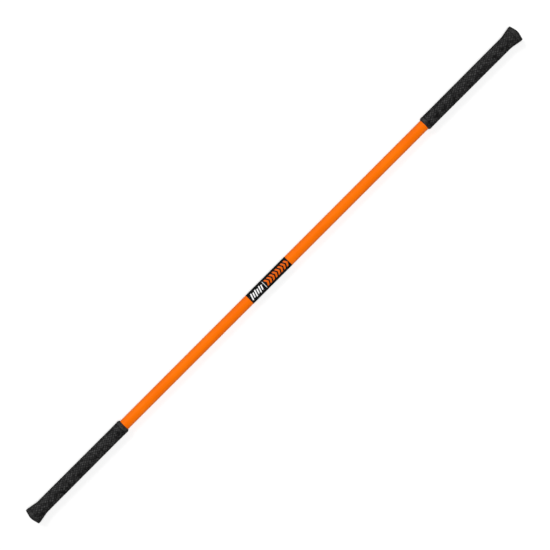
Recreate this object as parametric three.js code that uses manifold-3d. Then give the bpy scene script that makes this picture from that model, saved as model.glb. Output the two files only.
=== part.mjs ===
// Swing trainer stick: a straight, springy tube with a flared rubber grip on each end and a wrap-round label
// near its middle. Millimetres, +Z up. The stick lies along X on the two flared rims of its grips, and the
// origin is on the ground under its midpoint.
//
// From the outside in, each end holds a cap bonded into a grip sleeve, a spiral of double-sided tape that the
// sleeve is stretched over, and a plug pressed into the tube.

import * as THREE from "three";
import { mergeVertices } from "three/addons/utils/BufferGeometryUtils.js";
import Module from "manifold-3d";

const wasm = await Module();
wasm.setup();

// ---- Driving dimensions -------------------------------------------------------------------------------

const STICK_LENGTH = 1524; // tip to tip, five feet
const TUBE = { radius: 12.7, bore: 8.5, chamfer: 0.6 };
const GRIP = {
  length: 292, // mouth to tip
  lipRadius: 13.5, // the thin edge of the mouth
  lipLength: 3.2, // over which the mouth tapers down to that edge
  mouthRadius: 16.2, // where the taper begins
  waistRadius: 15.7, // the thinnest place, from which the sleeve swells towards the mouth
  waistDepth: 255, // tip to the waist
  neckRadius: 16.1, // where the flare begins: the sleeve thickens a little towards it
  rimRadius: 20.8,
  landLength: 1.3, // straight stretch between the rim and the flare
  flareLength: 25.4,
  neckBlend: 3, // half the length over which the barrel curves into the flare
};
const CAP = {
  landRadius: 5.5, // flat land in the middle of the tip
  coneSlope: 0.295, // how steeply the tip falls away round the land
  rimRound: 1.4,
  jointDepth: 7.5, // tip to the bond line between cap and sleeve
  ventRadius: 1.5,
  spigotRadius: 11.8,
  spigotRound: 0.5,
  thickness: 10.5, // tip to the inner face of the spigot
};
const PLUG = {
  headThickness: 3,
  spigotRadius: 7.8,
  spigotLength: 26,
  wall: 2,
  ribs: 6, // crush ribs round the spigot
  ribHeight: 0.5,
  ribWidth: 1.2,
  ribLength: 18,
};
const TAPE = { width: 50, pitch: 51.5, thickness: 0.25, clearOfMouth: 4 };
const LABEL = { length: 121, offset: -16.5, thickness: 0.15 };
const GAP = 0.1; // radial clearance between one layer and the next
const FACE_GAP = 0.3; // clearance between faces that butt
const FACETS = 32; // round every piece, with the same facets one above the other
const CURVE_STEPS = 5; // along each curved stretch of an outline

// ---- What follows from them ---------------------------------------------------------------------------

const facetStep = (2 * Math.PI) / FACETS;
const facetPhase = facetStep / 2; // a facet, and not a corner, points straight down
const groundToAxis = GRIP.rimRadius * Math.cos(facetPhase);
const plugHeadDepth = CAP.thickness + FACE_GAP; // tip to the plug's head
const tubeEndDepth = plugHeadDepth + PLUG.headThickness + FACE_GAP; // tip to the tube's end
const tubeLength = STICK_LENGTH - 2 * tubeEndDepth;
const tapeRadius = TUBE.radius + GAP;
const sleeveBore = tapeRadius + TAPE.thickness + GAP;
const rimDepth = CAP.jointDepth + FACE_GAP; // tip to the sleeve's end face
const flareDepth = rimDepth + GRIP.landLength;
const neckDepth = flareDepth + GRIP.flareLength;

// ---- Materials ----------------------------------------------------------------------------------------

const material = (color, roughness) => new THREE.MeshStandardMaterial({ color, roughness, metalness: 0 });
const MATERIALS = {
  tube: material(0xfa7305, 0.35),
  label: material(0x101012, 0.3),
  sleeve: material(0x232324, 0.8),
  cap: material(0x1d1d1e, 0.7),
  plug: material(0xd8d6cf, 0.55),
  tape: material(0xe4dcc0, 0.8),
};

// ---- Geometry helpers ---------------------------------------------------------------------------------

// Turns a closed outline of [radius, height] points, counter-clockwise, about the Y axis.
const turned = (points) => new THREE.LatheGeometry(points, FACETS, facetPhase);

const point = (radius, height) => new THREE.Vector2(radius, height);

// A point of the round section at facet corner i.
const cornerAt = (i, radius) => {
  const angle = facetPhase + i * facetStep;
  return { x: radius * Math.sin(angle), z: radius * Math.cos(angle) };
};

// A closed geometry as a solid that can be joined and cut, and back.
const solidOf = (geometry) => {
  const bare = (geometry.index ? geometry.toNonIndexed() : geometry.clone())
    .deleteAttribute("normal")
    .deleteAttribute("uv");
  const merged = mergeVertices(bare, 1e-4);
  return new wasm.Manifold(
    new wasm.Mesh({
      numProp: 3,
      vertProperties: merged.attributes.position.array,
      triVerts: new Uint32Array(merged.index.array),
    }),
  );
};

const geometryOf = (solid) => {
  const mesh = solid.getMesh();
  const geometry = new THREE.BufferGeometry();
  geometry.setAttribute("position", new THREE.BufferAttribute(mesh.vertProperties, 3));
  geometry.setIndex(new THREE.BufferAttribute(mesh.triVerts, 1));
  geometry.computeVertexNormals();
  return geometry;
};

const named = (name, geometry, look) => {
  const mesh = new THREE.Mesh(geometry, look);
  mesh.name = name;
  return mesh;
};

// ---- Middle of the stick: Y runs along it, and 0 is the midpoint --------------------------------------

// The tube, open at both ends, with its edges broken so that they don't cut the rubber.
const tubeGeometry = () => {
  const { radius, bore, chamfer } = TUBE;
  const end = tubeLength / 2;
  return turned([
    point(bore + chamfer, -end),
    point(radius - chamfer, -end),
    point(radius, -end + chamfer),
    point(radius, end - chamfer),
    point(radius - chamfer, end),
    point(bore + chamfer, end),
    point(bore, end - chamfer),
    point(bore, -end + chamfer),
    point(bore + chamfer, -end),
  ]);
};

// The printed film. It goes once round the tube, and its two edges stop one facet apart underneath.
const labelGeometry = () => {
  const inner = TUBE.radius + GAP / 2;
  const outer = inner + LABEL.thickness;
  const underneath = FACETS / 2; // the corner just past straight down
  const outline = [];
  for (let i = 0; i < FACETS; i++) {
    const { x, z } = cornerAt(underneath + i, outer);
    outline.push(point(x, -z));
  }
  for (let i = FACETS - 1; i >= 0; i--) {
    const { x, z } = cornerAt(underneath + i, inner);
    outline.push(point(x, -z));
  }
  const extrusion = { depth: LABEL.length, bevelEnabled: false };
  const film = new THREE.ExtrudeGeometry(new THREE.Shape(outline), extrusion);
  return film.rotateX(-Math.PI / 2).translate(0, -LABEL.length / 2, 0);
};

// ---- One end of the stick: Y points out of the tip, and 0 is the plane of the tip ---------------------

// Height of the tip's shallow cone at a radius, measured from the flat land.
const coneHeight = (radius) => -CAP.coneSlope * (radius - CAP.landRadius);

// The cap: a disc with a flat land and a vent in the middle of a shallow cone. Its spigot centres it in the
// sleeve.
const capGeometry = () => {
  const { landRadius, rimRound, jointDepth, ventRadius, spigotRadius, spigotRound, thickness } = CAP;
  const rim = GRIP.rimRadius;
  const coneEdge = rim - rimRound;
  const outline = new THREE.Path()
    .moveTo(ventRadius, -thickness)
    .lineTo(spigotRadius - spigotRound, -thickness)
    .lineTo(spigotRadius, -thickness + spigotRound)
    .lineTo(spigotRadius, -jointDepth)
    .lineTo(rim, -jointDepth)
    .lineTo(rim, coneHeight(coneEdge) - rimRound)
    .quadraticCurveTo(rim, coneHeight(rim), coneEdge, coneHeight(coneEdge))
    .lineTo(landRadius, 0)
    .lineTo(ventRadius, 0)
    .lineTo(ventRadius, -thickness);
  return turned(outline.getPoints(CURVE_STEPS));
};

// The sleeve: a tapered mouth, a slight waist, a nearly straight barrel, then a flare out to the rim.
const sleeveGeometry = () => {
  const { length, lipRadius, lipLength, mouthRadius, waistRadius, waistDepth } = GRIP;
  const { neckRadius, rimRadius, flareLength, neckBlend } = GRIP;
  const slope = (rimRadius - neckRadius) / flareLength;
  const mouthDepth = length - lipLength;
  const outline = new THREE.Path()
    .moveTo(sleeveBore, -length)
    .lineTo(lipRadius, -length)
    .lineTo(mouthRadius, -mouthDepth)
    .quadraticCurveTo(waistRadius, -(mouthDepth + waistDepth) / 2, waistRadius, -waistDepth)
    .lineTo(neckRadius, -neckDepth - neckBlend)
    .quadraticCurveTo(neckRadius, -neckDepth, neckRadius + slope * neckBlend, -neckDepth + neckBlend)
    .lineTo(rimRadius, -flareDepth)
    .lineTo(rimRadius, -rimDepth)
    .lineTo(sleeveBore, -rimDepth)
    .lineTo(sleeveBore, -length);
  return turned(outline.getPoints(CURVE_STEPS));
};

// The plug: a head that covers the tube's end, and a hollow spigot with crush ribs that grip the bore.
const plugGeometry = () => {
  const { headThickness, spigotRadius, spigotLength, wall, ribs, ribHeight, ribWidth, ribLength } = PLUG;
  const headTop = -plugHeadDepth;
  const headUnder = headTop - headThickness;
  const spigotEnd = headUnder - spigotLength;
  const body = turned([
    point(0, headUnder),
    point(spigotRadius - wall, headUnder),
    point(spigotRadius - wall, spigotEnd),
    point(spigotRadius, spigotEnd),
    point(spigotRadius, headUnder),
    point(TUBE.radius, headUnder),
    point(TUBE.radius, headTop),
    point(0, headTop),
  ]);
  const ribDepth = wall / 2 + ribHeight; // half the wall roots it
  let plug = solidOf(body);
  for (let i = 0; i < ribs; i++) {
    const rib = new THREE.BoxGeometry(ribDepth, ribLength, ribWidth)
      .translate(spigotRadius + ribHeight - ribDepth / 2, headUnder - ribLength / 2, 0)
      .rotateY((i * 2 * Math.PI) / ribs);
    plug = plug.add(solidOf(rib));
  }
  return geometryOf(plug);
};

// The tape: a flat strip wound round the tube in an open spiral, each turn clear of the last.
const tapeGeometry = () => {
  const { width, pitch, thickness, clearOfMouth } = TAPE;
  const covered = GRIP.length - clearOfMouth - tubeEndDepth;
  const steps = Math.floor(((covered - width) / pitch) * FACETS);
  const inner = tapeRadius;
  const outer = tapeRadius + thickness;
  const positions = [];
  for (let i = 0; i <= steps; i++) {
    const low = -GRIP.length + clearOfMouth + (pitch * i) / FACETS;
    const high = low + width;
    for (const [radius, y] of [[inner, low], [outer, low], [outer, high], [inner, high]]) {
      const { x, z } = cornerAt(i, radius);
      positions.push(x, y, z);
    }
  }
  const index = [0, 1, 2, 0, 2, 3];
  for (let i = 0; i < steps; i++) {
    for (let side = 0; side < 4; side++) {
      const a = 4 * i + side;
      const b = 4 * i + ((side + 1) % 4);
      index.push(a, a + 4, b, b, a + 4, b + 4);
    }
  }
  const last = 4 * steps;
  index.push(last, last + 2, last + 1, last, last + 3, last + 2);
  const strip = new THREE.BufferGeometry();
  strip.setAttribute("position", new THREE.Float32BufferAttribute(positions, 3));
  strip.setIndex(index);
  strip.computeVertexNormals();
  return strip;
};

// ---- Assembly -----------------------------------------------------------------------------------------

const stickEnd = (side) => {
  const end = new THREE.Group();
  end.add(
    named(`${side}_grip_cap`, capGeometry(), MATERIALS.cap),
    named(`${side}_grip_sleeve`, sleeveGeometry(), MATERIALS.sleeve),
    named(`${side}_grip_tape`, tapeGeometry(), MATERIALS.tape),
    named(`${side}_end_plug`, plugGeometry(), MATERIALS.plug),
  );
  return end;
};

const stick = new THREE.Group();

const label = named("centre_label", labelGeometry(), MATERIALS.label);
label.position.y = LABEL.offset;
stick.add(named("shaft_tube", tubeGeometry(), MATERIALS.tube), label);

const rightEnd = stickEnd("right");
rightEnd.position.y = STICK_LENGTH / 2;

const leftEnd = stickEnd("left");
leftEnd.position.y = -STICK_LENGTH / 2;
leftEnd.rotation.x = Math.PI;

stick.add(rightEnd, leftEnd);
stick.rotation.z = -Math.PI / 2; // lays the stick along X
stick.position.z = groundToAxis;

export default stick;
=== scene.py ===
import math

import bmesh
import bpy
import numpy as np
from mathutils import Euler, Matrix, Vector


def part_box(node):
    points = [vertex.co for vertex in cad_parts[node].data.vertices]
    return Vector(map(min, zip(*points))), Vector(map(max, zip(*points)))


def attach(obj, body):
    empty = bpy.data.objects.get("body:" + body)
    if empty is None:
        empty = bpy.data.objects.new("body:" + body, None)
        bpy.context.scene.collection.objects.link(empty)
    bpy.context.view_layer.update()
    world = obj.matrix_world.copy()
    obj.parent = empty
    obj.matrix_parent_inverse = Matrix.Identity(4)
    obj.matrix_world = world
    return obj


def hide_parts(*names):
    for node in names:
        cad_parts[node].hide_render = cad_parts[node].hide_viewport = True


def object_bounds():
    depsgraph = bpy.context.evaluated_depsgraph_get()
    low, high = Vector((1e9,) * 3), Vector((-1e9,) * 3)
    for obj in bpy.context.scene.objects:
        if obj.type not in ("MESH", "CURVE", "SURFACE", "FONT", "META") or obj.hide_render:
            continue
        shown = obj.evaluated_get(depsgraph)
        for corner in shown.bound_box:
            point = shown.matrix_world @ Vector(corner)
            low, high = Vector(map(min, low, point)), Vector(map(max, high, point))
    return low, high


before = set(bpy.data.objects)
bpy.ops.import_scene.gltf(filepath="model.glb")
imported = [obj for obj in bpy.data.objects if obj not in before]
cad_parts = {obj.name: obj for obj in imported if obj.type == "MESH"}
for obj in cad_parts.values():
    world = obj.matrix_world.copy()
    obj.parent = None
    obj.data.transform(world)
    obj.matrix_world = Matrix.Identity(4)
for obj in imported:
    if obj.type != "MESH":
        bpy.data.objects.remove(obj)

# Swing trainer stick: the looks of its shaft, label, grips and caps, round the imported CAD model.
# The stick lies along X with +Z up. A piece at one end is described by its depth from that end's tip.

MM = 0.001
SIDES = {1: "right", -1: "left"}  # the two ends, by the sign of their x

# ---- Places and sizes read from the imported CAD model -------------------------------------------------

cad_low, cad_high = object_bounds()
TIP = cad_high.x
AXIS_Z = (cad_low.z + cad_high.z) / 2


def half_height(node):
    """Radius of a round CAD node, from its box."""
    low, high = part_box(node)
    return (high.z - low.z) / 2


TUBE_RADIUS = half_height("shaft_tube")
LABEL_RADIUS = half_height("centre_label")
RIM_RADIUS = half_height("right_grip_cap")
TUBE_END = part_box("shaft_tube")[1].x
LABEL_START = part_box("centre_label")[0].x
LABEL_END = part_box("centre_label")[1].x
MOUTH_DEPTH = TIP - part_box("right_grip_sleeve")[0].x
TAPE_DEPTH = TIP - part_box("right_grip_tape")[0].x
SPIGOT_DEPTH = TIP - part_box("right_grip_cap")[0].x

# ---- Driving dimensions of the finer pieces ------------------------------------------------------------

# The shaft
TUBE_BORE = 8.46 * MM  # its radius
TUBE_CHAMFER = 0.6 * MM
TUBE_SEGMENTS = 128
TUBE_RINGS = 50

# The label and its print
LABEL_THICKNESS = 0.15 * MM
LABEL_SEAM = 2.4 * MM  # between the film's two edges, underneath
LABEL_CORNER = 3.0 * MM
LABEL_STEP = 1.0 * MM  # between the film's rows of faces, round the tube
LABEL_COLUMNS = 24
CORNER_ROWS = 7  # of points through one round corner
CORNER_REACH = 0.995  # share of a corner's radius over which its curve is followed
INK_BASE = 0.01 * MM  # from the film up to the ink
INK_TOP = 0.05 * MM
INK_CORNER = 0.5 * MM
INK_STEP = 0.7 * MM  # between rows of faces, so that the ink follows the tube
INK_COLUMNS = 2
BAR_COUNT = 6
BAR_START = 8.0 * MM  # from the label's end to the middle of the first bar
BAR_PITCH = 6.1 * MM
BAR_WIDTH = 3.15 * MM
BAR_HALVES = (7.6 * MM, 5.6 * MM)  # half the length of a bar round the tube, taken in turn
BAR_LEAN = 0.32
RULE_PLACE = 46.6 * MM  # from the label's end
RULE_WIDTH = 1.1 * MM
RULE_HALF = 9.0 * MM
CHEVRON_COUNT = 8
CHEVRON_START = 59.2 * MM  # from the label's end to the first point
CHEVRON_PITCH = 8.5 * MM
CHEVRON_WIDTH = 4.8 * MM
CHEVRON_HALF = 8.0 * MM
CHEVRON_SWEEP = 0.55

# The sleeve
JOINT_DEPTH = 7.62 * MM  # tip to the bond line between cap and sleeve
BOND_GAP = 0.06 * MM
JOINT_BEVEL = 0.3 * MM  # taken off the rim on either side of the bond line
SLEEVE_BEVEL_DEPTH = JOINT_DEPTH + 0.35 * MM  # where the sleeve's bevel ends
SLEEVE_BORE = 13.1 * MM
BORE_PAST_TAPE = 0.2 * MM
BORE_ROWS = 8
CONTACT_LENGTH = 3.0 * MM  # of the mouth that closes on the tube
CONTACT_GAP = 0.03 * MM
EDGE_BEVEL = 0.3 * MM  # inside the mouth's thin edge
EDGE_ROUND = 0.5 * MM  # how far the rounding of that edge runs up the taper
LIP_RADIUS = 13.43 * MM  # the thin edge of the mouth
LIP_LENGTH = 3.2 * MM  # over which the mouth tapers down to that edge
LIP_ROUND = 1.0 * MM  # how far the rounding of the taper's shoulder runs either way
MOUTH_RADIUS = 16.12 * MM
MOUTH_BAND_ROWS = 6
FIRST_BAND_STEP = 0.6 * MM  # from the shoulder to the first row of the band behind it
WAIST_RADIUS = 15.62 * MM
WAIST_DEPTH = 255.0 * MM
NECK_RADIUS = 16.02 * MM
NECK_DEPTH = 34.5 * MM
NECK_BLEND = 3.0 * MM
FLARE_DEPTH = 9.1 * MM  # tip to where the flare leaves the straight stretch at the rim
RIM_BAND_ROWS = 5
SMALL_ROUND_STEPS = 4
LARGE_ROUND_STEPS = 6
SLEEVE_SHARP_DEGREES = 24.0

# Its moulded pattern
PATTERN_START = 14.0 * MM  # depth of the ring groove below the rim
PATTERN_INSET = 10.0 * MM  # from the mouth to the other ring groove
RING_GROOVE = 0.9 * MM  # its width
DIAMONDS_ROUND = 16
DIAMONDS_ALONG = 30
DIAMOND_STEPS = 12  # grid steps across one diamond, either way
GROOVE_DEPTH = 0.45 * MM
GROOVE_PROFILE = (0.0, 0.72, 0.91, 0.97, 0.99, 1.0, 1.0)  # a diamond's height at each step from its groove
PARTING_RIDGE = 0.08 * MM
PLAIN_BAND_SHADE = 0.88  # the smooth bands past the pattern are less dusty than its tops, at 1

# The cap
CAP_LAND = 5.5 * MM
CAP_LAND_BLEND = 0.6 * MM
CONE_SLOPE = 0.295  # how steeply the tip falls away round the land
CAP_ROUND = 1.4 * MM
CAP_VENT = 1.5 * MM
VENT_BEVEL = 0.3 * MM
CAP_SPIGOT = 11.75 * MM
CAP_SPIGOT_ROUND = 0.5 * MM
CAP_TREADS = (9.0 * MM, 12.0 * MM, 15.0 * MM)  # radii of the grooves in the cone
TREAD_WIDTH = 1.2 * MM
TREAD_DEPTH = 0.7 * MM
CAP_SEGMENTS = 128

# ---- Meshes --------------------------------------------------------------------------------------------


def piece(name, vertices, faces, material, slot, sharp_degrees=30.0):
    """A closed mesh on the stick's one body, smooth but for its sharp edges."""
    mesh = bpy.data.meshes.new(name)
    mesh.from_pydata(np.asarray(vertices).reshape(-1, 3).tolist(), [], np.asarray(faces).tolist())
    facing = bmesh.new()
    facing.from_mesh(mesh)
    bmesh.ops.recalc_face_normals(facing, faces=facing.faces)
    facing.to_mesh(mesh)
    facing.free()
    mesh.shade_smooth()
    mesh.set_sharp_from_angle(angle=math.radians(sharp_degrees))
    mesh.materials.append(material)
    made = bpy.data.objects.new(name, mesh)
    bpy.context.scene.collection.objects.link(made)
    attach(made, "root")
    return made


def closed_grid(rows, columns, leaning=None):
    """Faces of a grid that closes on itself both ways: quads, or triangles where leaning is given.

    leaning is true in the cells whose diagonal runs from the next row back to this one.
    """
    here = np.arange(rows * columns).reshape(rows, columns)
    ahead = np.roll(here, -1, axis=0)
    beside = np.roll(here, -1, axis=1)
    across = np.roll(ahead, -1, axis=1)
    if leaning is None:
        return np.stack([here, ahead, across, beside], axis=-1).reshape(-1, 4)
    first = np.where(
        leaning[..., None],
        np.stack([here, ahead, beside], axis=-1),
        np.stack([here, ahead, across], axis=-1),
    )
    second = np.where(
        leaning[..., None],
        np.stack([ahead, across, beside], axis=-1),
        np.stack([here, across, beside], axis=-1),
    )
    return np.concatenate([first.reshape(-1, 3), second.reshape(-1, 3)])


def turned(places, radii, segments):
    """Vertices of rings round the stick's axis. radii holds one number per ring, or one per vertex."""
    angles = 2 * math.pi * np.arange(segments) / segments
    radii = np.broadcast_to(np.asarray(radii).reshape(len(places), -1), (len(places), segments))
    vertices = np.empty((len(places), segments, 3))
    vertices[..., 0] = np.asarray(places)[:, None]
    vertices[..., 1] = radii * np.sin(angles)
    vertices[..., 2] = AXIS_Z + radii * np.cos(angles)
    return vertices


def arc(centre, radius, start, end, steps):
    """Points of an arc in a plane, from one angle to another, in degrees."""
    angles = np.radians(np.linspace(start, end, steps + 1))
    return [(centre[0] + radius * math.cos(a), centre[1] + radius * math.sin(a)) for a in angles]


def rounded(start, corner, end, steps):
    """Points of a curve in a plane from start to end, that leaves and arrives along the lines to corner."""
    share = np.linspace(0, 1, steps + 1)[:, None]
    start, corner, end = np.array(start), np.array(corner), np.array(end)
    curve = start * (1 - share) ** 2 + 2 * corner * share * (1 - share) + end * share**2
    return [tuple(point) for point in curve]


def wrapped_patch(left, right, arcs, base, top, columns):
    """Vertices and faces of a thin closed solid wrapped round the stick, from radius base to radius top.

    left and right are the x of its two sides at each of arcs, the distances round from straight up.
    """
    share = np.linspace(0, 1, columns + 1)
    x = left[:, None] * (1 - share) + right[:, None] * share
    angle = (arcs / LABEL_RADIUS)[:, None] * np.ones_like(x)
    layers = [np.stack([x, r * np.sin(angle), AXIS_Z + r * np.cos(angle)], axis=-1) for r in (top, base)]
    rows, wide = x.shape
    upper = np.arange(rows * wide).reshape(rows, wide)
    lower = upper + rows * wide
    faces = []
    for layer in (upper, lower):
        corners = [layer[:-1, :-1], layer[1:, :-1], layer[1:, 1:], layer[:-1, 1:]]
        faces.append(np.stack(corners, axis=-1).reshape(-1, 4))
    for line in (np.s_[0, :], np.s_[-1, :], np.s_[:, 0], np.s_[:, -1]):
        a, b = upper[line], lower[line]
        faces.append(np.stack([a[:-1], a[1:], b[1:], b[:-1]], axis=-1))
    return np.concatenate([v.reshape(-1, 3) for v in layers]), np.concatenate(faces)


def corner_inset(arcs, half, radius):
    """How far a patch's side draws in at each arc place, so that its corners are round."""
    into = np.clip(np.abs(arcs) - (half - radius), 0, radius * CORNER_REACH)
    return radius - np.sqrt(radius**2 - into**2)


def arc_places(half, radius, step):
    """Places round the stick for a patch's rows: even ones, and closer ones through its round corners."""
    even = np.arange(0, half - radius, step)
    round_part = half - radius + radius * np.sin(np.linspace(0, math.pi / 2, CORNER_ROWS))
    one_side = np.concatenate([even, round_part])
    return np.concatenate([-one_side[:0:-1], one_side])


def joined(patches):
    """Several patches as one list of vertices and faces."""
    vertices, faces, count = [], [], 0
    for patch_vertices, patch_faces in patches:
        vertices.append(patch_vertices)
        faces.append(patch_faces + count)
        count += len(patch_vertices)
    return np.concatenate(vertices), np.concatenate(faces)


# ---- Materials -----------------------------------------------------------------------------------------


class Look:
    """A material's node tree, with short ways to add a node and join it."""

    def __init__(self, name, **constants):
        self.material = bpy.data.materials.new(name)
        self.material.use_nodes = True
        self.nodes = self.material.node_tree.nodes
        self.links = self.material.node_tree.links
        self.shader = self.nodes["Principled BSDF"]
        self.place = self.nodes.new("ShaderNodeTexCoord").outputs["Object"]
        for socket, value in constants.items():
            self.shader.inputs[socket.replace("_", " ")].default_value = value

    def noise(self, scale, detail, stretch=(1.0, 1.0, 1.0), roughness=0.55):
        """Noise from 0 to 1, about scale features to the metre, squeezed along each axis by stretch."""
        mapping = self.nodes.new("ShaderNodeMapping")
        mapping.inputs["Scale"].default_value = stretch
        self.links.new(self.place, mapping.inputs["Vector"])
        noise = self.nodes.new("ShaderNodeTexNoise")
        noise.inputs["Scale"].default_value = scale
        noise.inputs["Detail"].default_value = detail
        noise.inputs["Roughness"].default_value = roughness
        self.links.new(mapping.outputs["Vector"], noise.inputs["Vector"])
        return noise.outputs["Fac"]

    def attribute(self, name):
        """A number that the mesh keeps at each vertex."""
        node = self.nodes.new("ShaderNodeAttribute")
        node.attribute_name = name
        return node.outputs["Fac"]

    def ranged(self, value, low, high, to_low, to_high):
        """value, from low..high, carried over to to_low..to_high and held there."""
        node = self.nodes.new("ShaderNodeMapRange")
        self.links.new(value, node.inputs["Value"])
        sockets = ("From Min", "From Max", "To Min", "To Max")
        for socket, number in zip(sockets, (low, high, to_low, to_high)):
            node.inputs[socket].default_value = number
        return node.outputs["Result"]

    def maths(self, operation, a, b):
        """a and b joined by an operation, each a number or another node's output."""
        node = self.nodes.new("ShaderNodeMath")
        node.operation = operation
        for socket, value in zip(node.inputs, (a, b)):
            if isinstance(value, (int, float)):
                socket.default_value = value
            else:
                self.links.new(value, socket)
        return node.outputs["Value"]

    def blended(self, factor, first, second):
        """A colour between two, each a colour or another node's output."""
        node = self.nodes.new("ShaderNodeMix")
        node.data_type = "RGBA"
        self.links.new(factor, node.inputs["Factor"])
        for socket, value in ((node.inputs[6], first), (node.inputs[7], second)):
            if isinstance(value, tuple):
                socket.default_value = (*value, 1.0)
            else:
                self.links.new(value, socket)
        return node.outputs[2]

    def bump(self, height, distance, strength=1.0, after=None):
        """A normal tilted by a height, on top of another normal where after is given."""
        node = self.nodes.new("ShaderNodeBump")
        node.inputs["Distance"].default_value = distance
        node.inputs["Strength"].default_value = strength
        self.links.new(height, node.inputs["Height"])
        if after is not None:
            self.links.new(after, node.inputs["Normal"])
        return node.outputs["Normal"]

    def set(self, **sources):
        """Joins each source to the shader's socket of that name, and gives the material."""
        for socket, source in sources.items():
            self.links.new(source, self.shader.inputs[socket.replace("_", " ")])
        return self.material


def shaft_plastic():
    """Orange glass-filled nylon: drawn lines along the tube, slight mottling, and scuffs from handling."""
    deep = (0.80, 0.135, 0.0010)
    bright = (0.84, 0.161, 0.0016)
    drawn = (0.72, 0.113, 0.0008)
    scuffed = (0.86, 0.205, 0.018)
    look = Look("shaft_plastic", Specular_IOR_Level=0.06)
    lines = look.noise(900.0, 3.0, (0.004, 1.0, 1.0))
    mottle = look.noise(18.0, 5.0, (0.5, 1.0, 1.0))
    grain = look.noise(2600.0, 2.0)
    scuffs = look.noise(120.0, 6.0, (0.25, 1.0, 1.0), 0.7)
    worn = look.ranged(scuffs, 0.62, 0.74, 0.0, 0.35)
    colour = look.blended(look.ranged(mottle, 0.35, 0.65, 0.0, 1.0), deep, bright)
    colour = look.blended(look.ranged(lines, 0.4, 0.6, 0.0, 0.35), colour, drawn)
    colour = look.blended(worn, colour, scuffed)
    rough = look.maths("ADD", look.ranged(lines, 0.3, 0.7, 0.42, 0.52), look.maths("MULTIPLY", worn, 0.3))
    normal = look.bump(lines, 0.02 * MM, 0.5)
    normal = look.bump(grain, 0.01 * MM, 0.5, normal)
    return look.set(Base_Color=colour, Roughness=rough, Normal=normal)


def grip_rubber():
    """Moulded black rubber: painted shade makes its grooves near black, and it is dusty in patches and
    specks on its tops.
    """
    # painted shade: the near-black colour painted into the grooves; the plain bands take part of it as
    # their darker tone
    groove = (0.0010, 0.0010, 0.0010)
    clean = (0.0018, 0.0018, 0.0018)
    dusty = (0.0440, 0.0438, 0.0436)
    speck = (0.0850, 0.0847, 0.0842)
    look = Look("grip_rubber", Specular_IOR_Level=0.42)
    # tops runs from 0 in the grooves, which get the painted shade, to 1 on the diamonds' tops
    tops = look.ranged(look.attribute("shade"), 0.7, 1.0, 0.0, 1.0)
    patches = look.noise(135.0, 5.0)
    specks = look.noise(420.0, 2.0)
    grain = look.noise(2400.0, 3.0)
    colour = look.blended(look.ranged(patches, 0.43, 0.60, 0.0, 1.0), clean, dusty)
    colour = look.blended(look.ranged(specks, 0.53, 0.66, 0.0, 0.55), colour, speck)
    # painted shade: the grooves are painted near black, following the relief heights
    colour = look.blended(tops, groove, colour)
    rough = look.ranged(patches, 0.35, 0.70, 0.55, 0.75)
    return look.set(Base_Color=colour, Roughness=rough, Normal=look.bump(grain, 0.10 * MM))


def cap_rubber():
    """The caps' rubber, smoother than the sleeves' and slightly dusty all over."""
    clean = (0.0095, 0.0095, 0.0098)
    dusty = (0.0200, 0.0197, 0.0194)
    look = Look("cap_rubber", Specular_IOR_Level=0.50)
    dust = look.noise(160.0, 6.0)
    grain = look.noise(2000.0, 3.0)
    colour = look.blended(look.ranged(dust, 0.4, 0.7, 0.0, 1.0), clean, dusty)
    rough = look.ranged(dust, 0.3, 0.7, 0.56, 0.74)
    return look.set(Base_Color=colour, Roughness=rough, Normal=look.bump(grain, 0.08 * MM))


def label_film():
    """Black film under a clear gloss, with the slight orange peel of an adhesive label."""
    clean = (0.0045, 0.0045, 0.0050)
    smeared = (0.0085, 0.0085, 0.0090)
    look = Look("label_film", Specular_IOR_Level=0.06)
    peel = look.noise(260.0, 2.0)
    smears = look.noise(60.0, 5.0, (0.4, 1.0, 1.0))
    colour = look.blended(look.ranged(smears, 0.4, 0.7, 0.0, 1.0), clean, smeared)
    rough = look.ranged(smears, 0.3, 0.7, 0.30, 0.44)
    return look.set(Base_Color=colour, Roughness=rough, Normal=look.bump(peel, 0.02 * MM, 0.4))


def ink(name, plain, worn):
    """Printing ink, thinner and darker in small patches."""
    look = Look(name, Specular_IOR_Level=0.08)
    wear = look.noise(420.0, 5.0)
    colour = look.blended(look.ranged(wear, 0.58, 0.72, 0.0, 1.0), plain, worn)
    return look.set(Base_Color=colour, Roughness=look.ranged(wear, 0.3, 0.7, 0.30, 0.42))


def plug_nylon():
    """Natural nylon, faintly cloudy."""
    look = Look("plug_nylon", Specular_IOR_Level=0.4)
    cloud = look.noise(140.0, 4.0)
    colour = look.blended(cloud, (0.60, 0.58, 0.52), (0.72, 0.71, 0.66))
    return look.set(Base_Color=colour, Roughness=look.ranged(cloud, 0.3, 0.7, 0.45, 0.6))


def tape_paper():
    """Crinkled masking paper."""
    look = Look("tape_paper", Specular_IOR_Level=0.2)
    crinkle = look.noise(500.0, 5.0, (1.0, 0.4, 0.4))
    fibre = look.noise(1800.0, 3.0)
    colour = look.blended(crinkle, (0.70, 0.62, 0.42), (0.82, 0.76, 0.58))
    rough = look.ranged(fibre, 0.3, 0.7, 0.75, 0.95)
    return look.set(Base_Color=colour, Roughness=rough, Normal=look.bump(crinkle, 0.1 * MM, 0.6))


# ---- The shaft -----------------------------------------------------------------------------------------


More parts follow.
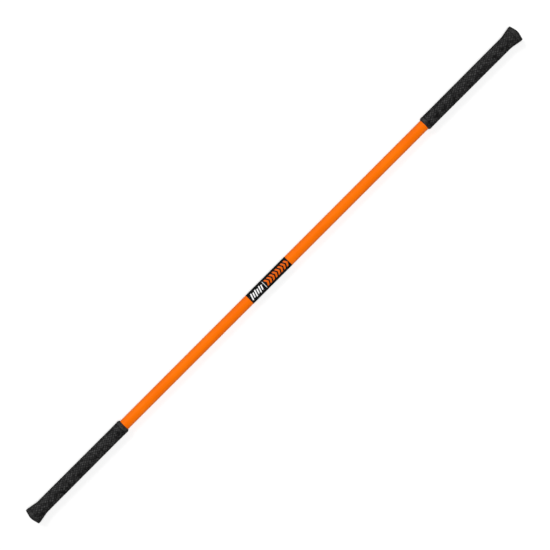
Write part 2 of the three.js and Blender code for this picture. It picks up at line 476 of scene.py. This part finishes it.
def build_shaft(material):
    """The tube: its outside, the two chamfered ends and the bore."""
    along = np.linspace(-TUBE_END + TUBE_CHAMFER, TUBE_END - TUBE_CHAMFER, TUBE_RINGS + 1)
    outline = [(x, TUBE_RADIUS) for x in along]
    outline += [(TUBE_END, TUBE_RADIUS - TUBE_CHAMFER), (TUBE_END, TUBE_BORE + TUBE_CHAMFER)]
    outline += [(x, TUBE_BORE) for x in along[::-1]]
    outline += [(-TUBE_END, TUBE_BORE + TUBE_CHAMFER), (-TUBE_END, TUBE_RADIUS - TUBE_CHAMFER)]
    places, radii = np.array(outline).T
    vertices = turned(places, radii, TUBE_SEGMENTS)
    shaft = piece("shaft_body", vertices, closed_grid(len(outline), TUBE_SEGMENTS), material, "shaft")
    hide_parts("shaft_tube")


# ---- The label -----------------------------------------------------------------------------------------


def build_label(material):
    """The film, once round the tube but for its seam, with round corners."""
    half = math.pi * LABEL_RADIUS - LABEL_SEAM / 2
    arcs = arc_places(half, LABEL_CORNER, LABEL_STEP)
    inset = corner_inset(arcs, half, LABEL_CORNER)
    base = LABEL_RADIUS - LABEL_THICKNESS
    film = wrapped_patch(LABEL_START + inset, LABEL_END - inset, arcs, base, LABEL_RADIUS, LABEL_COLUMNS)
    label = piece("label_film", *film, material, "label")
    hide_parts("centre_label")


def ink_patch(middle, width, half):
    """A patch of ink that reaches half either way round the tube from the top.

    middle gives the x of its middle line at any distance round.
    """
    arcs = arc_places(half, INK_CORNER, INK_STEP)
    reach = width / 2 - corner_inset(arcs, half, INK_CORNER)
    base = LABEL_RADIUS + INK_BASE
    top = LABEL_RADIUS + INK_TOP
    return wrapped_patch(middle(arcs) - reach, middle(arcs) + reach, arcs, base, top, INK_COLUMNS)


def bar(centre, width, half, lean):
    """A bar of ink across the stick, slanted by lean."""
    return ink_patch(lambda arcs: centre + lean * arcs, width, half)


def chevron(point):
    """A chevron of ink that points along +X."""
    nose = point - CHEVRON_WIDTH / 2
    return ink_patch(lambda arcs: nose - CHEVRON_SWEEP * np.abs(arcs), CHEVRON_WIDTH, CHEVRON_HALF)


def build_print(white, orange):
    """A plain pattern in two inks: slanted bars and a rule, then a row of chevrons."""
    bars = []
    for i in range(BAR_COUNT):
        half = BAR_HALVES[i % len(BAR_HALVES)]
        bars.append(bar(LABEL_START + BAR_START + BAR_PITCH * i, BAR_WIDTH, half, BAR_LEAN))
    bars.append(bar(LABEL_START + RULE_PLACE, RULE_WIDTH, RULE_HALF, 0.0))
    piece("label_print_white", *joined(bars), white, "label")

    first = LABEL_START + CHEVRON_START
    chevrons = [chevron(first + CHEVRON_PITCH * i) for i in range(CHEVRON_COUNT)]
    piece("label_print_orange", *joined(chevrons), orange, "label")


# ---- The grips -----------------------------------------------------------------------------------------


def sleeve_radius(depth):
    """Outer radius of a grip at a depth from the tip: flare, neck, barrel, then a swelling to the mouth."""
    slope = (RIM_RADIUS - NECK_RADIUS) / (NECK_DEPTH - FLARE_DEPTH)
    blend_start, blend_end = NECK_DEPTH + NECK_BLEND, NECK_DEPTH - NECK_BLEND
    flare = RIM_RADIUS - slope * np.maximum(depth - FLARE_DEPTH, 0)
    blend = NECK_RADIUS + slope * NECK_BLEND * ((blend_start - depth) / (2 * NECK_BLEND)) ** 2
    along = (depth - blend_start) / (WAIST_DEPTH - blend_start)
    barrel = NECK_RADIUS + (WAIST_RADIUS - NECK_RADIUS) * along
    past_waist = (depth - WAIST_DEPTH) / (MOUTH_DEPTH - LIP_LENGTH - WAIST_DEPTH)
    swell = WAIST_RADIUS + (MOUTH_RADIUS - WAIST_RADIUS) * past_waist**2
    stretches = [depth < blend_end, depth < blend_start, depth < WAIST_DEPTH]
    return np.select(stretches, [flare, blend, barrel], swell)


def on_grip(depths):
    """Rows of depth and radius on a grip's outside."""
    return [(depth, sleeve_radius(depth)) for depth in depths]


def diamond_relief(rows, columns):
    """Heights, 0 in a groove to 1 on a diamond, and which way each cell's diagonal leans."""
    i = np.arange(rows)[:, None]
    j = np.arange(columns)[None, :]
    falling = (i + j) % DIAMOND_STEPS
    rising = (i - j) % DIAMOND_STEPS
    to_falling = np.minimum(falling, DIAMOND_STEPS - falling)
    to_rising = np.minimum(rising, DIAMOND_STEPS - rising)
    height = np.array(GROOVE_PROFILE)[np.minimum(to_falling, to_rising)]
    height[0] = height[-1] = 0  # the ring grooves at the two ends
    half = DIAMOND_STEPS // 2
    cell_to_falling = np.abs((i + j + 1 + half) % DIAMOND_STEPS - half)
    cell_to_rising = np.abs((i - j + half) % DIAMOND_STEPS - half)
    return height, cell_to_falling < cell_to_rising


def mouth_rows():
    """The mouth as rows of depth and radius: contact with the tube, thin edge, taper and round shoulder."""
    contact = TUBE_RADIUS + CONTACT_GAP
    rows = [(MOUTH_DEPTH - CONTACT_LENGTH, contact), (MOUTH_DEPTH - EDGE_BEVEL, contact)]
    edge = np.array((MOUTH_DEPTH, LIP_RADIUS))
    shoulder = np.array((MOUTH_DEPTH - LIP_LENGTH, MOUTH_RADIUS))
    up_taper = (shoulder - edge) / np.linalg.norm(shoulder - edge)
    edge_start = (MOUTH_DEPTH, contact + EDGE_BEVEL)
    rows += rounded(edge_start, edge, edge + EDGE_ROUND * up_taper, SMALL_ROUND_STEPS)
    past = shoulder[0] - LIP_ROUND
    shoulder_start = shoulder - LIP_ROUND * up_taper
    rows += rounded(shoulder_start, shoulder, (past, sleeve_radius(past)), LARGE_ROUND_STEPS)
    return rows


def sleeve_rows():
    """The sleeve's outline as rows of depth and radius, and the slice of rows that carries the pattern."""
    bore_start = JOINT_DEPTH + BOND_GAP / 2
    bore_depths = np.linspace(bore_start, TAPE_DEPTH + BORE_PAST_TAPE, BORE_ROWS)
    rows = [(depth, SLEEVE_BORE) for depth in bore_depths]
    rows += mouth_rows()
    band_start = rows[-1][0] - FIRST_BAND_STEP
    band_end = MOUTH_DEPTH - PATTERN_INSET
    rows += on_grip(np.linspace(band_start, band_end + RING_GROOVE / 2, MOUTH_BAND_ROWS))
    first = len(rows)
    rows += on_grip(np.linspace(band_end, PATTERN_START, DIAMONDS_ALONG * DIAMOND_STEPS + 1))
    last = len(rows)
    rows += on_grip(np.linspace(PATTERN_START - RING_GROOVE / 2, FLARE_DEPTH, RIM_BAND_ROWS))
    rows += [(SLEEVE_BEVEL_DEPTH, RIM_RADIUS), (bore_start, RIM_RADIUS - JOINT_BEVEL)]
    return np.array([(float(depth), float(radius)) for depth, radius in rows]), slice(first, last)


def build_sleeve(name, side, material):
    """A grip sleeve with its moulded diamonds, ring grooves and parting lines."""
    columns = DIAMONDS_ROUND * DIAMOND_STEPS
    rows, patterned = sleeve_rows()
    height, pattern_leaning = diamond_relief(patterned.stop - patterned.start, columns)
    relief = np.ones((len(rows), columns))
    relief[patterned] = height
    leaning = np.zeros((len(rows), columns), bool)
    leaning[patterned] = pattern_leaning
    radii = rows[:, 1:2] - GROOVE_DEPTH * (1 - relief)
    for column in (columns // 4, 3 * columns // 4):
        radii[patterned, column] += PARTING_RIDGE
    vertices = turned(side * (TIP - rows[:, 0]), radii, columns)
    faces = closed_grid(len(rows), columns, leaning)
    sleeve = piece(name, vertices, faces, material, "grip", SLEEVE_SHARP_DEGREES)
    # The relief heights are kept as the shade attribute. Through the rubber's colour they paint shade into
    # the grooves, 0 in a groove and 1 on a top.
    tone = relief.copy()
    tone[: patterned.start] = PLAIN_BAND_SHADE
    tone[patterned.stop :] = PLAIN_BAND_SHADE
    shade = sleeve.data.attributes.new("shade", "FLOAT", "POINT")
    shade.data.foreach_set("value", tone.ravel().astype(np.float32))
    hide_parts(f"{SIDES[side]}_grip_sleeve")


def cone_depth(radius):
    """Depth of the cap's cone at a radius."""
    return CONE_SLOPE * (radius - CAP_LAND)


def cap_outline():
    """The cap as depth and radius: spigot, joint face, rim, and a grooved cone round a land and a vent."""
    lean = math.atan(CONE_SLOPE)
    round_radius = RIM_RADIUS - CAP_ROUND
    round_depth = cone_depth(round_radius + CAP_ROUND * math.sin(lean)) + CAP_ROUND * math.cos(lean)
    joint = JOINT_DEPTH - BOND_GAP / 2
    outline = [(SPIGOT_DEPTH, CAP_VENT), (SPIGOT_DEPTH, CAP_SPIGOT - CAP_SPIGOT_ROUND)]
    outline += [(SPIGOT_DEPTH - CAP_SPIGOT_ROUND, CAP_SPIGOT), (joint, CAP_SPIGOT)]
    outline += [(joint, RIM_RADIUS - JOINT_BEVEL), (joint - JOINT_BEVEL, RIM_RADIUS)]
    outline += arc((round_depth, round_radius), CAP_ROUND, 90, 180 - math.degrees(lean), LARGE_ROUND_STEPS)
    for radius in reversed(CAP_TREADS):
        outer, inner = radius + TREAD_WIDTH / 2, radius - TREAD_WIDTH / 2
        outline += [(cone_depth(outer), outer), (cone_depth(radius) + TREAD_DEPTH, radius)]
        outline += [(cone_depth(inner), inner)]
    cone_end = (cone_depth(CAP_LAND + CAP_LAND_BLEND), CAP_LAND + CAP_LAND_BLEND)
    outline += rounded(cone_end, (0.0, CAP_LAND), (0.0, CAP_LAND - CAP_LAND_BLEND), SMALL_ROUND_STEPS)
    outline += [(0.0, CAP_VENT + VENT_BEVEL), (VENT_BEVEL, CAP_VENT)]
    return np.array(outline)


def build_cap(name, side, material):
    """A cap, turned from its outline."""
    depths, radii = cap_outline().T
    vertices = turned(side * (TIP - depths), radii, CAP_SEGMENTS)
    cap = piece(name, vertices, closed_grid(len(depths), CAP_SEGMENTS), material, "grip_cap")
    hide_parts(f"{SIDES[side]}_grip_cap")


# ---- The object ----------------------------------------------------------------------------------------

build_shaft(shaft_plastic())
build_label(label_film())
build_print(
    ink("ink_white", (0.80, 0.80, 0.80), (0.62, 0.62, 0.62)),
    ink("ink_orange", (0.66, 0.105, 0.002), (0.50, 0.074, 0.002)),
)
rubber, cap_material = grip_rubber(), cap_rubber()
nylon, paper = plug_nylon(), tape_paper()
for side, word in SIDES.items():
    build_sleeve(f"{word}_sleeve_moulded", side, rubber)
    build_cap(f"{word}_cap_moulded", side, cap_material)
    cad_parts[f"{word}_end_plug"].material_slots[0].material = nylon
    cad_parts[f"{word}_grip_tape"].material_slots[0].material = paper

# ---- Floor, light and camera ---------------------------------------------------------------------------

FLOOR_RADIUS = 40.0
FLOOR_SEGMENTS = 96
FLOOR_DROP = 0.2 * MM  # below the stick, so that the two surfaces don't meet
FLOOR_GLOW = 0.48
KEY_WIDTH = math.radians(22.0)  # how wide the light looks from the stick
KEY_TILT = math.radians(-3.0)  # from straight overhead, towards +Y
KEY_STRENGTH = 2.65
SIDE_WIDTH = math.radians(20.0)
SIDE_TILT = math.radians(36.0)
SIDE_STRENGTH = 1.08
# The sine of an angle above the horizon, and how pale the room is there.
ROOM_GREYS = ((-0.06, 0.03), (-0.03, 1.0), (0.0, 1.0), (0.20, 0.10))
CAMERA_ROLL = math.radians(45.02)
CAMERA_OFFSET = (1.1 * MM, -1.4 * MM)
CAMERA_LENS = 200.0  # mm, on a sensor 36 mm wide
SENSOR_WIDTH = 36.0
FRAME_WIDTH = 1.218  # metres across the picture at the stick
CLIP_DISTANCES = 10  # how many camera distances away the view ends


def floor_sheet():
    """A pale diffusing sheet that is lit from below as well, so that shadows on it are faint."""
    look = Look("floor_sheet", Specular_IOR_Level=0.0, Roughness=1.0, Emission_Strength=FLOOR_GLOW)
    look.shader.inputs["Emission Color"].default_value = (1.0, 1.0, 1.0, 1.0)
    tone = look.noise(1.5, 2.0)
    return look.set(Base_Color=look.blended(tone, (0.47, 0.47, 0.47), (0.49, 0.49, 0.49)))


def build_floor():
    """A wide disc just under the stick, which glossy surfaces don't mirror."""
    mesh = bpy.data.meshes.new("floor")
    disc = bmesh.new()
    bmesh.ops.create_circle(disc, cap_ends=True, radius=FLOOR_RADIUS, segments=FLOOR_SEGMENTS)
    disc.to_mesh(mesh)
    disc.free()
    mesh.materials.append(floor_sheet())
    floor = bpy.data.objects.new("floor", mesh)
    floor.location.z = cad_low.z - FLOOR_DROP
    bpy.context.scene.collection.objects.link(floor)
    floor.visible_glossy = False


def add_light(name, tilt, width, strength, mirrored):
    """A large soft light far away, tilted from overhead about the stick's axis.

    A light that isn't mirrored lights the stick and makes no highlight on it.
    """
    light = bpy.data.lights.new(name, "SUN")
    light.angle = width
    light.energy = strength
    placed = bpy.data.objects.new(name, light)
    placed.rotation_euler = Euler((-tilt, 0.0, 0.0))
    placed.visible_glossy = mirrored
    bpy.context.scene.collection.objects.link(placed)


def build_world():
    """A pale room: bright at the horizon, dimmer overhead and dark below, where the floor hides it."""
    world = bpy.data.worlds.new("studio")
    world.use_nodes = True
    nodes, links = world.node_tree.nodes, world.node_tree.links
    split = nodes.new("ShaderNodeSeparateXYZ")
    links.new(nodes.new("ShaderNodeTexCoord").outputs["Generated"], split.inputs["Vector"])
    height = nodes.new("ShaderNodeMapRange")
    height.inputs["From Min"].default_value = -1.0
    links.new(split.outputs["Z"], height.inputs["Value"])
    ramp = nodes.new("ShaderNodeValToRGB")
    stops = ramp.color_ramp.elements
    stops[0].color = (ROOM_GREYS[0][1],) * 3 + (1.0,)
    stops[1].color = (ROOM_GREYS[-1][1],) * 3 + (1.0,)
    for sine, grey in ROOM_GREYS:
        stops.new((1 + sine) / 2).color = (grey, grey, grey, 1.0)
    links.new(height.outputs["Result"], ramp.inputs["Fac"])
    links.new(ramp.outputs["Color"], nodes["Background"].inputs["Color"])
    bpy.context.scene.world = world


def build_camera():
    """Straight overhead, turned so that the stick runs from lower left to upper right."""
    data = bpy.data.cameras.new("camera")
    data.lens = CAMERA_LENS
    data.sensor_width = SENSOR_WIDTH
    distance = FRAME_WIDTH * CAMERA_LENS / SENSOR_WIDTH
    data.clip_end = CLIP_DISTANCES * distance
    camera = bpy.data.objects.new("camera", data)
    camera.location = Vector((*CAMERA_OFFSET, AXIS_Z + distance))
    camera.rotation_euler = Euler((0.0, 0.0, -CAMERA_ROLL))
    bpy.context.scene.collection.objects.link(camera)
    bpy.context.scene.camera = camera


build_floor()
add_light("key_light", KEY_TILT, KEY_WIDTH, KEY_STRENGTH, mirrored=False)
add_light("side_light", SIDE_TILT, SIDE_WIDTH, SIDE_STRENGTH, mirrored=True)
build_world()
build_camera()
bpy.context.scene.view_settings.view_transform = "Standard"
